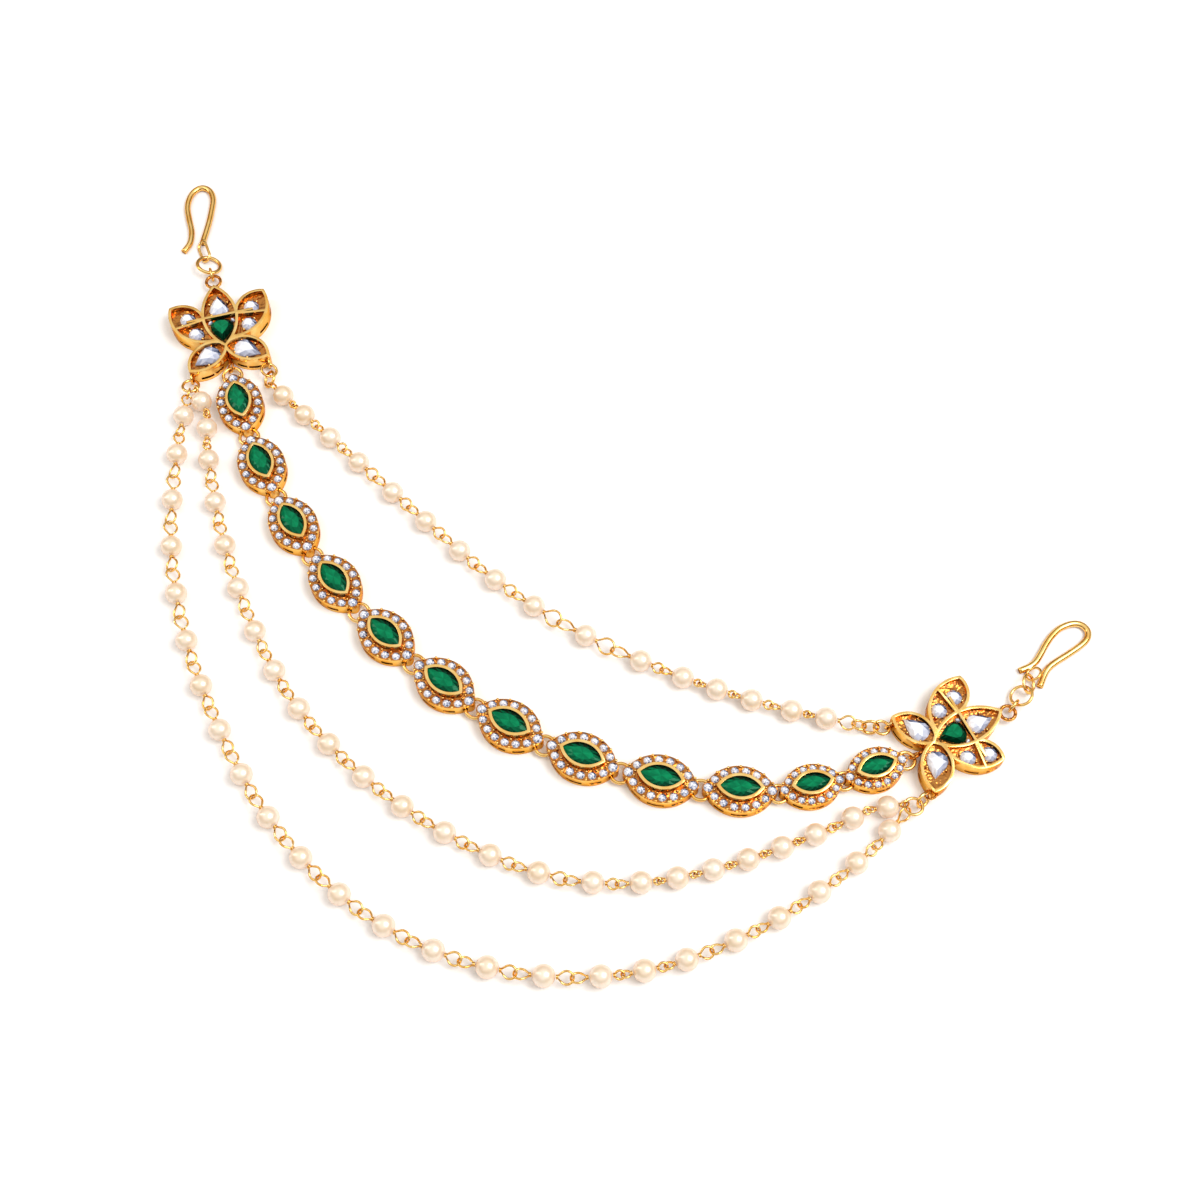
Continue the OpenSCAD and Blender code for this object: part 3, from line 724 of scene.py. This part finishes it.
def cut_stone_mesh(outline, height, table):
    """Faceted stone over an outline of unit size: girdle, crown facets, and a table of the given share."""
    girdle_top = 0.22 * height
    star_top = 0.72 * height
    star = 0.8
    shape = bmesh.new()
    count = len(outline)
    half = count // 2
    lower = [shape.verts.new((x, y, 0)) for x, y in outline]
    rim = [shape.verts.new((x, y, girdle_top)) for x, y in outline]
    inner = [shape.verts.new((x * star, y * star, star_top)) for x, y in outline[1::2]]
    top = [shape.verts.new((x * table, y * table, height)) for x, y in outline[0::2]]
    middle = shape.verts.new((0, 0, height))
    for k in range(count):
        shape.faces.new((lower[k], lower[(k + 1) % count], rim[(k + 1) % count], rim[k]))
    for k in range(half):
        a = rim[2 * k]
        b = rim[2 * k + 1]
        c = rim[(2 * k + 2) % count]
        d = top[(k + 1) % half]
        for corners in (
            (a, b, inner[k]), (b, c, inner[k]), (a, inner[k], top[k]), (c, d, inner[k]),
            (inner[k], d, top[k]), (top[k], d, middle),
        ):
            shape.faces.new(corners)
    shape.faces.new(lower[::-1])
    return mesh_from(shape, "cut_stone", smooth=False)


def paint_facet_glints(mesh, spread, painted_rim_shade=0.0):
    """Paints a reflection into each facet's value by the way it faces: dark behind, white on the left, greyer
    in front.
    """
    # Painted reflection: facets facing back and right are darker, facing left lighter, facing front greyer;
    # tilted crown facets get painted rim shade.
    level = 0.84
    dark_x = 0.35
    dark_y = 0.93
    to_the_right = 0.4
    in_front = 0.4
    far_behind = 1.9
    behind_from = 0.22
    golden = 0.618034
    facet = mesh.attributes.new("facet", "FLOAT", "FACE")
    for face in mesh.polygons:
        lean = face.normal
        behind = dark_x * lean.x + dark_y * lean.y
        glint = level - to_the_right * lean.x
        glint -= far_behind * max(0.0, behind - behind_from)
        glint -= in_front * max(0.0, -behind)
        glint -= painted_rim_shade * (1 - lean.z)
        facet.data[face.index].value = glint + spread * ((face.index * golden) % 1.0 - 0.5)


def round_outline(count=16):
    angles = [2 * math.pi * k / count for k in range(count)]
    return [(0.5 * math.cos(angle), 0.5 * math.sin(angle)) for angle in angles]


def oval_outline(width, count=24):
    """Pointed oval of unit length, from two arcs."""
    radius = (1 + width * width) / (4 * width)
    reach = math.asin(0.5 / radius)
    half = count // 2
    line = []
    for k in range(count):
        side = 1 if k < half else -1
        angle = side * (2 * reach * (k % half) / half - reach)
        line.append((-radius * math.sin(angle), side * (radius * math.cos(angle) - radius + width / 2)))
    return line


def drop_outline(width, count=24):
    """Drop of unit length, its point towards +X."""
    pointedness = 1.3
    line = []
    for k in range(count):
        angle = 2 * math.pi * k / count
        across = width / 2 * pointedness * math.sin(angle) * abs(math.sin(angle / 2)) ** pointedness
        line.append((0.5 * math.cos(angle), across))
    return line


# Metal


def metal_copy(node, edge, crease):
    """Smooth copy of a packed metal part, with its cast edges rounded."""
    shape = merged_shape(node)
    if edge:
        bmesh.ops.dissolve_limit(
            shape, angle_limit=FLAT, verts=shape.verts, edges=shape.edges, delimit=set()
        )
    helper = mesh_object(node + "_helper", mesh_from(shape, node + "_shape"))
    if edge:
        bevel = helper.modifiers.new("edges", "BEVEL")
        bevel.width = edge
        bevel.segments = 3
        bevel.limit_method = "ANGLE"
        bevel.angle_limit = crease
        bevel.use_clamp_overlap = True
    mesh = plain_mesh(helper, node + "_metal")
    mesh.set_sharp_from_angle(angle=crease)
    mesh.materials.clear()
    mesh.materials.append(material_named("lacquered_gold"))
    return mesh


def mark_recesses(mesh, floor_top, floor_depth, hollow_top):
    """Marks the floors, the inner walls and the hollow back of a casting, for its material's painted shade and
    rough cast skin.
    """
    floor_slack = 0.1 * MM
    wall_slack = 0.2 * MM
    rim_height = 0.15 * MM
    off_face = 0.03 * MM
    floor_tilt = 0.6
    wall_tilt = 0.3
    recess = mesh.attributes.new("recess", "FLOAT", "FACE")
    corners = [vert.co for vert in mesh.vertices]
    faces = BVHTree.FromPolygons(corners, [face.vertices for face in mesh.polygons])
    for face in mesh.polygons:
        heights = [mesh.vertices[index].co.z for index in face.vertices]
        floor = face.normal.z > floor_tilt and max(heights) < floor_top + floor_slack
        inner_wall = face.normal.z < wall_tilt and min(heights) > floor_top - wall_slack
        roof = faces.ray_cast(face.center + face.normal * off_face, Vector(UP))[0]
        if roof and max(heights) < hollow_top and face.center.z > rim_height:
            recess.data[face.index].value = HOLLOW
        elif floor:
            recess.data[face.index].value = floor_depth
        elif inner_wall:
            recess.data[face.index].value = INNER_WALL


class HAIRCHAIN_OT_metal(bpy.types.Operator):
    """Polish the hooks, rings, flowers and settings"""

    bl_idname = "hairchain.metal"
    bl_label = "Metal"

    def execute(self, context):
        values = context.scene.hair_chain_metal
        castings = [("setting_" + number, values.plate_top, SETTING_FLOOR) for number in SETTINGS]
        for side in SIDES:
            castings.append(("flower_" + side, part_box("green_drop_" + side)[0].z, FLOWER_FLOOR))
        for node, floor_top, floor_depth in castings:
            mesh = metal_copy(node, values.edge, values.crease)
            mark_recesses(mesh, floor_top, floor_depth, values.hollow_top)
            finished_piece(node + "_metal", mesh, [node])
        wires = ["link_rings"]
        for side in SIDES:
            wires += ["hook_" + side, "rings_hook_" + side, "strand_rings_" + side]
        for node in wires:
            finished_piece(node + "_metal", metal_copy(node, 0, values.crease), [node])
        return {"FINISHED"}


# Pearls on their wires


def teardrop(start, end, width, steps=18):
    """Closed line of a teardrop eye in its own plane: its point at start and its round end at end."""
    bluntest = 0.98
    radius = width / 2
    middle = end - radius
    lean = math.acos(min(bluntest, radius / (middle - start)))
    line = [(start, 0.0)]
    for k in range(steps + 1):
        angle = math.pi - lean - 2 * (math.pi - lean) * k / steps
        line.append((middle + radius * math.cos(angle), radius * math.sin(angle)))
    return line


def eye_line(pearl, way, points, values):
    """Line of the eye on one side of a pearl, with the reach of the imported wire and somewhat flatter."""
    outer_share = 0.55
    skin = values.pearl / 2
    ahead = (points - pearl) @ way
    end = ahead.max() - values.wire / 2
    eye = points[ahead > skin + outer_share * (end - skin)] - pearl
    normal = principal_axes(eye)[2]
    normal = normal - way * (normal @ way)
    normal *= 1 if normal[2] > 0 else -1
    normal[2] += values.flatten
    across = np.cross(normal / np.linalg.norm(normal), way)
    width = ((eye @ across).max() - (eye @ across).min() - values.wire) * values.eye_spread
    return [pearl + way * x + across * y for x, y in teardrop(skin + values.apex, end, width)]


class HAIRCHAIN_OT_strands(bpy.types.Operator):
    """String the pearls on their teardrop wire eyes"""

    bl_idname = "hairchain.strands"
    bl_label = "Pearl strands"

    def execute(self, context):
        values = context.scene.hair_chain_beads
        gold = material_named("lacquered_gold")
        sunk = 0.015
        wrap_start = values.pearl / 2 * (1 - sunk)
        for strand in STRANDS:
            beads = strand_beads(strand)
            pearls = [(pearl, turned(along), (values.pearl,) * 3) for pearl, along, _ in beads]
            mesh = scattered("pearls_" + strand, bead_template(), pearls, material_named("pearl_lustre"))
            finished_piece("pearl_strand_" + strand, mesh, ["pearls_" + strand])
            wraps = []
            shape = bmesh.new()
            for pearl, along, points in beads:
                for way in (along, -along):
                    line = eye_line(pearl, way, points, values)
                    swept_tube(shape, line, values.wire / 2, sides=8, closed=True)
                    wraps.append((pearl + way * wrap_start, turned(way), (1, 1, 1)))
            eyes = mesh_from(shape, "eyes_" + strand)
            eyes.materials.append(gold)
            finished_piece("wire_eyes_" + strand, eyes, ["wires_" + strand])
            coil = wrap_template(values.wrap, values.wrap_wire, values.wrap_turns)
            mesh = scattered("wraps_" + strand, coil, wraps, gold)
            finished_piece("wire_wraps_" + strand, mesh)
        return {"FINISHED"}


# Stones


def halo_line(values):
    """Halo stones of a full size setting, and the grains between them, as x, y and diameter."""
    outer_grain = 0.52
    inner_grain = -0.5
    inner_size = 0.85
    radius = (values.arc_length ** 2 + values.arc_width ** 2) / (4 * values.arc_width)
    reach = math.asin(values.arc_length / 2 / radius)
    step = 2 * reach / (values.side_count + 1)
    drop = radius - values.arc_width / 2
    stones = [(values.arc_length / 2, 0, values.tip_stone), (-values.arc_length / 2, 0, values.tip_stone)]
    grains = []
    for side in (1, -1):
        for k in range(1, values.side_count + 1):
            angle = k * step - reach
            stones.append((radius * math.sin(angle), side * (radius * math.cos(angle) - drop), values.stone))
        for k in range(values.side_count + 1):
            angle = (k + 0.5) * step - reach
            for away, diameter in ((outer_grain, 1.0), (inner_grain, inner_size)):
                r = radius + away * values.stone
                spot = (r * math.sin(angle), side * (r * math.cos(angle) - drop))
                grains.append((*spot, values.grain * diameter))
    return stones, grains


class HAIRCHAIN_OT_halo(bpy.types.Operator):
    """Set the small stones and the grains round each marquise"""

    bl_idname = "hairchain.halo"
    bl_label = "Halo stones"

    def execute(self, context):
        values = context.scene.hair_chain_halo
        stones, grains = halo_line(values)
        stone_places = []
        grain_places = []
        rows = ((stones, stone_places, values.girdle), (grains, grain_places, values.grain_height))
        for middle, along, size in setting_places():
            facing = turned(along)
            for source, target, height in rows:
                for x, y, diameter in source:
                    spot = facing @ Vector((x * size, y * size, 0))
                    d = diameter * size
                    target.append(((middle[0] + spot.x, middle[1] + spot.y, height), facing, (d, d, d)))
        stone = cut_stone_mesh(round_outline(), height=0.34, table=0.5)
        foil = material_named("clear_foil")
        mesh = scattered("halo_stones", stone, stone_places, foil, spin=math.pi, shade=0.12, seed=values.seed)
        # Paints reflections into the halo stones' facets by the way each faces.
        paint_facet_glints(mesh, spread=0.9)
        finished_piece("halo_stones", mesh)
        mesh = scattered("halo_grains", grain_template(), grain_places, material_named("lacquered_gold"))
        finished_piece("halo_grains", mesh)
        return {"FINISHED"}


def flower_axes(side):
    """A flower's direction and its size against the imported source's."""
    green = box_middle(np.concatenate(loose_parts("green_drop_" + side)))
    crown = box_middle(np.concatenate(loose_parts("clear_drop_%s_1" % side)))
    along = crown - green
    along[2] = 0
    apart = np.linalg.norm(along)
    return along / apart, apart / DROPS_APART


def flower_stones(side):
    """The stones of a flower as node, kind and the direction of its point."""
    forward, _ = flower_axes(side)
    found = [("green_drop_" + side, "green", -forward)]
    for k, turn in CLEAR_DROP_TURNS.items():
        point = np.array(Matrix.Rotation(math.radians(turn), 3, "Z") @ Vector(forward))
        found.append(("clear_drop_%s_%d" % (side, k), "drop", point))
    for k in ROUND_STONES:
        found.append(("round_stone_%s_%d" % (side, k), "round", forward))
    return found


def lying_box(node, along):
    """Middle of a packed stone's foot and its length, width and height, in its own directions."""
    points = np.concatenate(loose_parts(node))
    axes = np.array([along, np.cross(UP, along), UP])
    reach = points @ axes.T
    low = reach.min(axis=0)
    high = reach.max(axis=0)
    foot = (low + high) / 2
    foot[2] = low[2]
    return foot @ axes, high - low


def stone_from_node(node, along, outline, table, material, fill, painted_rim_shade, height=None):
    """Cut stone in the place and at the size of a packed one, or of its upper part alone."""
    foot, size = lying_box(node, along)
    height = height or size[2]
    foot[2] += size[2] - height
    mesh = cut_stone_mesh(outline, height / size[0], table)
    scale = Matrix.Diagonal((size[0] * fill, size[0] * fill, size[0], 1.0))
    mesh.transform(Matrix.Translation(foot) @ turned(along).to_4x4() @ scale)
    # Paints reflections into the facets by the way each faces, and painted shade on the tilted rim facets.
    paint_facet_glints(mesh, spread=0.14, painted_rim_shade=painted_rim_shade)
    mesh.materials.append(material_named(material))
    return mesh


class HAIRCHAIN_OT_stones(bpy.types.Operator):
    """Cut the marquises, the drops and the round stones"""

    bl_idname = "hairchain.stones"
    bl_label = "Large stones"

    def execute(self, context):
        values = context.scene.hair_chain_stones
        # The dark rim of each stone below is painted shade on its tilted facets.
        marquise = {
            "outline": oval_outline(0.53), "table": 0.58, "material": "emerald_glass", "fill": values.fill,
            "painted_rim_shade": 1.5, "height": values.crown,
        }
        for number, (_, along, _) in zip(SETTINGS, setting_places()):
            node = "marquise_" + number
            finished_piece(node + "_cut", stone_from_node(node, along, **marquise), [node])
        green = {
            "outline": drop_outline(0.9), "table": 0.62, "material": "emerald_glass", "fill": values.fill,
            "painted_rim_shade": 0.8,
        }
        drop = {
            "outline": drop_outline(0.78, count=16), "table": 0.5, "material": "clear_foil",
            "fill": values.drop_fill, "painted_rim_shade": 0.0,
        }
        brilliant = {
            "outline": round_outline(), "table": 0.5, "material": "clear_foil", "fill": values.round_fill,
            "painted_rim_shade": 0.0,
        }
        cuts = {
            "green": (green, "green_glass"), "drop": (drop, "clear_glass"),
            "round": (brilliant, "clear_glass"),
        }
        for side in SIDES:
            for node, kind, along in flower_stones(side):
                cut, slot = cuts[kind]
                finished_piece(node + "_cut", stone_from_node(node, along, **cut), [node])
        return {"FINISHED"}


# Places of the grains about each kind of stone in a flower, as parts of its length and width.
GRAINS_AT = {
    "green": ((0.02, 0.56), (0.02, -0.56)),
    "drop": ((-0.44, 0.44), (-0.44, -0.44), (0.14, 0.5), (0.14, -0.5)),
    "round": ((0.42, 0.42), (0.42, -0.42), (-0.42, 0.42), (-0.42, -0.42)),
}

# Places of the foil slivers beside a green drop, in the same way.
SLIVERS_AT = ((-0.43, 0.5), (-0.43, -0.5))

# A sliver's length, width and height as parts of its length.
SLIVER_SHAPE = Vector((1.0, 0.6, 0.8))


class HAIRCHAIN_OT_grains(bpy.types.Operator):
    """Raise the flowers' grains and lay the foil slivers beside the green drops"""

    bl_idname = "hairchain.grains"
    bl_label = "Flower grains"

    def execute(self, context):
        values = context.scene.hair_chain_stones
        grains = []
        slivers = []
        for side in SIDES:
            _, scale = flower_axes(side)
            lift = np.array(UP) * values.grain_lift * scale
            for node, kind, along in flower_stones(side):
                foot, size = lying_box(node, along)
                across = np.cross(UP, along)
                for x, y in GRAINS_AT[kind]:
                    spot = foot + along * size[0] * x + across * size[1] * y + lift
                    grains.append((spot, turned(along), (values.grain * scale,) * 3))
                if kind == "green":
                    for x, y in SLIVERS_AT:
                        spot = foot + along * size[0] * x + across * size[1] * y
                        facing = turned(along + across * math.copysign(1.0, y))
                        slivers.append((spot, facing, SLIVER_SHAPE * values.sliver * scale))
        mesh = scattered("flower_grains", grain_template(), grains, material_named("lacquered_gold"))
        finished_piece("flower_grains", mesh)
        sliver = cut_stone_mesh(round_outline(count=8), height=0.4, table=0.5)
        mesh = scattered("foil_slivers", sliver, slivers, material_named("clear_foil"))
        # Paints reflections into the slivers' facets by the way each faces.
        paint_facet_glints(mesh, spread=0.4)
        finished_piece("foil_slivers", mesh)
        return {"FINISHED"}


# Table, light and camera


def area_light(name, place, target, size, power, tint):
    light = bpy.data.lights.new(name, "AREA")
    light.shape = "RECTANGLE"
    light.size, light.size_y = size
    light.energy = power
    light.color = colour(tint)[:3]
    lamp = bpy.data.objects.new(name, light)
    lamp.location = place
    lamp.rotation_euler = (target - Vector(place)).to_track_quat("-Z", "Y").to_euler()
    bpy.context.scene.collection.objects.link(lamp)


def studio_sky(strength):
    """Studio round the table: white overhead, dark lower down for the metal to mirror, pale at the foot."""
    world = bpy.data.worlds.new("studio")
    world.use_nodes = True
    tree = world.node_tree
    tree.nodes.clear()
    way = add_node(tree, "ShaderNodeTexCoord").outputs["Generated"]
    parts = add_node(tree, "ShaderNodeSeparateXYZ", links={"Vector": way})
    ramp = add_node(tree, "ShaderNodeValToRGB", links={"Fac": parts.outputs["Z"]}, stops=[
        (0.0, colour("#CFCBC7")), (0.12, colour("#8E8378")), (0.3, colour("#4C3D32")),
        (0.6, colour("#CBC3BB")), (0.82, colour("#FFFFFF")),
    ])
    back = add_node(tree, "ShaderNodeBackground", {"Strength": strength}, {"Color": ramp.outputs["Color"]})
    add_node(tree, "ShaderNodeOutputWorld", links={"Surface": back.outputs["Background"]})
    bpy.context.scene.world = world


class HAIRCHAIN_OT_stage(bpy.types.Operator):
    """Lay the table, light it and set the camera"""

    bl_idname = "hairchain.stage"
    bl_label = "Stage"

    def execute(self, context):
        values = context.scene.hair_chain_stage
        half = values.floor / 2
        corners = [(-half, -half, 0), (half, -half, 0), (half, half, 0), (-half, half, 0)]
        board = bpy.data.meshes.new("table")
        board.from_pydata(corners, [], [(0, 1, 2, 3)])
        board.materials.append(material_named("table_white"))
        mesh_object("table", board)
        target = Vector(values.look_at)
        area_light("key", values.key_place, target, (values.key_side, values.key_side), values.key, "#FFFFFF")
        strip_size = (values.strip_width, values.strip_length)
        area_light("strip", values.strip_place, target, strip_size, values.strip, "#FFF6EC")
        studio_sky(values.sky)
        lens = bpy.data.cameras.new("camera")
        lens.lens = values.lens
        lens.sensor_width = 36
        lens.clip_start = 10 * MM
        camera = bpy.data.objects.new("camera", lens)
        camera.location = target + Vector((0, -values.back, values.height))
        camera.rotation_euler = (target - camera.location).to_track_quat("-Z", "Y").to_euler()
        context.scene.collection.objects.link(camera)
        context.scene.camera = camera
        context.scene.view_settings.view_transform = "Standard"
        return {"FINISHED"}


# Panel and registration


class HAIRCHAIN_PT_panel(bpy.types.Panel):
    """Buttons that build the pieces one by one"""

    bl_idname = "HAIRCHAIN_PT_panel"
    bl_label = "Hair chain"
    bl_space_type = "VIEW_3D"
    bl_region_type = "UI"
    bl_category = "Hair Chain"

    def draw(self, context):
        for operator in OPERATORS:
            self.layout.operator(operator.bl_idname)
        for name in GROUPS:
            group = getattr(context.scene, name)
            for field in group.bl_rna.properties:
                if field.identifier not in ("rna_type", "name"):
                    self.layout.prop(group, field.identifier)


GROUPS = {
    "hair_chain_colours": HairChainColours,
    "hair_chain_beads": HairChainBeads,
    "hair_chain_halo": HairChainHalo,
    "hair_chain_stones": HairChainStones,
    "hair_chain_metal": HairChainMetal,
    "hair_chain_stage": HairChainStage,
}
OPERATORS = (
    HAIRCHAIN_OT_metal, HAIRCHAIN_OT_strands, HAIRCHAIN_OT_halo, HAIRCHAIN_OT_stones, HAIRCHAIN_OT_grains,
    HAIRCHAIN_OT_stage,
)
CLASSES = (*GROUPS.values(), *OPERATORS, HAIRCHAIN_PT_panel)


def register():
    for item in CLASSES:
        bpy.utils.register_class(item)
    for name, group in GROUPS.items():
        setattr(bpy.types.Scene, name, PointerProperty(type=group))


def unregister():
    for name in GROUPS:
        delattr(bpy.types.Scene, name)
    for item in reversed(CLASSES):
        bpy.utils.unregister_class(item)


def main():
    register()
    bpy.ops.hairchain.metal()
    bpy.ops.hairchain.strands()
    bpy.ops.hairchain.halo()
    bpy.ops.hairchain.stones()
    bpy.ops.hairchain.grains()
    bpy.ops.hairchain.stage()


if __name__ == "__main__":
    main()
